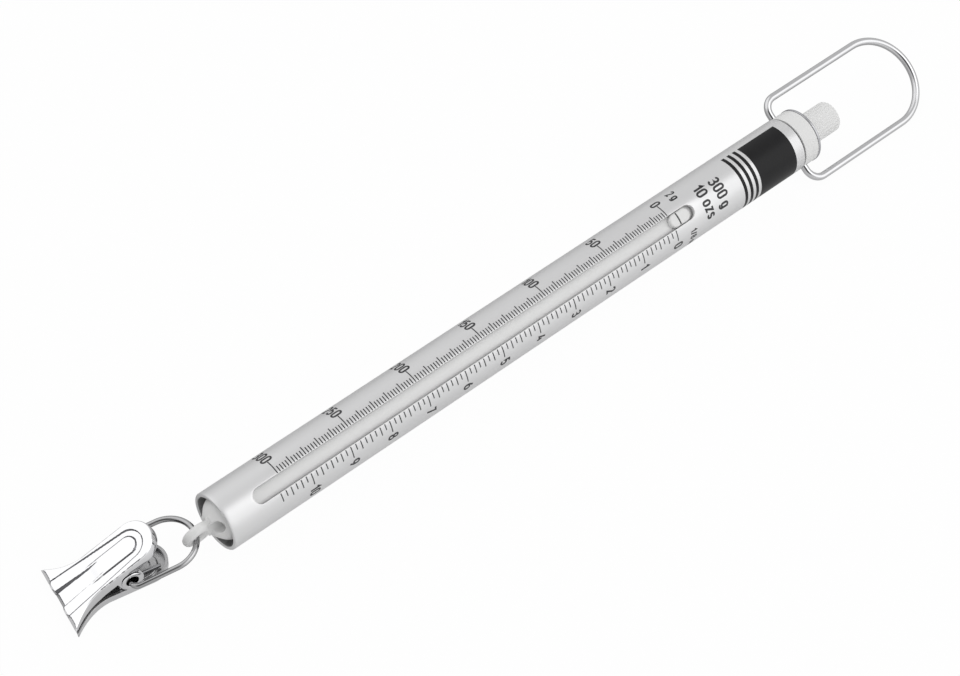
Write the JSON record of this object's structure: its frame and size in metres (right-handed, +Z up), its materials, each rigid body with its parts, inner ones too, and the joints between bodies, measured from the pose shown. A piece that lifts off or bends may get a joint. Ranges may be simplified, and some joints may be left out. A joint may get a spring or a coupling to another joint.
{
  "type": "spring scale",
  "caption": "Tubular hand-held spring scale: slotted metal tube, sliding indicator, zero knob, hanging ring and a sprung hook-on clip.",
  "frame": {"origin": "middle of the whole scale's box, on the surface it lies on", "axes": "+X up the tube from the clip to the hanging ring, +Z up from the surface, +Y across"},
  "size_m": [0.2218, 0.0243, 0.0122],
  "materials": {
    "tube_aluminium": "satin drawn tube with a printed scale",
    "cap_aluminium": "bright turned rim",
    "white_plastic": "moulded, slightly glossy",
    "steel": "plain turned steel",
    "nylon": "natural",
    "brass": "turned",
    "spring_steel": "drawn wire",
    "bright_wire": "bright plated wire",
    "clip_plate": "mirror-bright plated sheet"
  },
  "bodies": {
    "tube_body": {"tube": "tube_aluminium", "end_cap": "cap_aluminium", "collar": "white_plastic", "thrust_washer": "nylon"},
    "knob": {"zero_knob": "white_plastic", "adjusting_screw": "steel", "retaining_clip": "steel", "knob_washer": "steel"},
    "carrier": {"spring_carrier": "brass", "carrier_pin": "steel", "main_spring": "spring_steel"},
    "slider": {"slider": "white_plastic", "end_plug": "white_plastic", "spring_pin": "steel"},
    "bail": {"bail": "bright_wire"},
    "loop": {"wire_loop": "bright_wire"},
    "clip": {"lower_leaf": "clip_plate", "hinge_rivet": "clip_plate", "torsion_spring": "spring_steel"},
    "upper_leaf": {"upper_leaf": "clip_plate"}
  },
  "joints": [
    {"name": "knob_spin", "type": "hinge", "parent": "tube_body", "child": "knob", "pos_m": [0.07587, -0.00304, 0.0061], "axis": [-1, 0, 0], "range_deg": [0, 2880]},
    {"name": "carrier_slide", "type": "slide", "parent": "tube_body", "child": "carrier", "axis": [-1, 0, 0], "range_m": [0, 0.004]},
    {"name": "slider_travel", "type": "slide", "parent": "carrier", "child": "slider", "axis": [-1, 0, 0], "range_m": [0, 0.102], "stiffness_N_per_m": 29.4, "deforming": ["main_spring"]},
    {"name": "bail_swing", "type": "hinge", "parent": "tube_body", "child": "bail", "pos_m": [0.07247, -0.00304, 0.0061], "axis": [0, 0.8429, 0.5381], "range_deg": [-165, 165]},
    {"name": "loop_swing", "type": "hinge", "parent": "slider", "child": "loop", "pos_m": [-0.08333, -0.00304, 0.0061], "axis": [0, 0.9534, 0.3016], "range_deg": [-60, 60]},
    {"name": "clip_swing", "type": "hinge", "parent": "loop", "child": "clip", "pos_m": [-0.09673, 0.00201, 0.0037], "axis": [0.1959, 0.9806, 0], "range_deg": [-60, 60]},
    {"name": "jaw_open", "type": "hinge", "parent": "clip", "child": "upper_leaf", "pos_m": [-0.09673, 0.00201, 0.0037], "axis": [0.1959, 0.9806, 0], "range_deg": [0, 30], "stiffness_Nm_per_rad": 0.01, "springref_deg": -28.65, "deforming": ["torsion_spring"]}
  ],
  "couplings": [
    {"joint": "knob_spin", "follows": "carrier_slide", "rad_per_m": 12566}
  ]
}
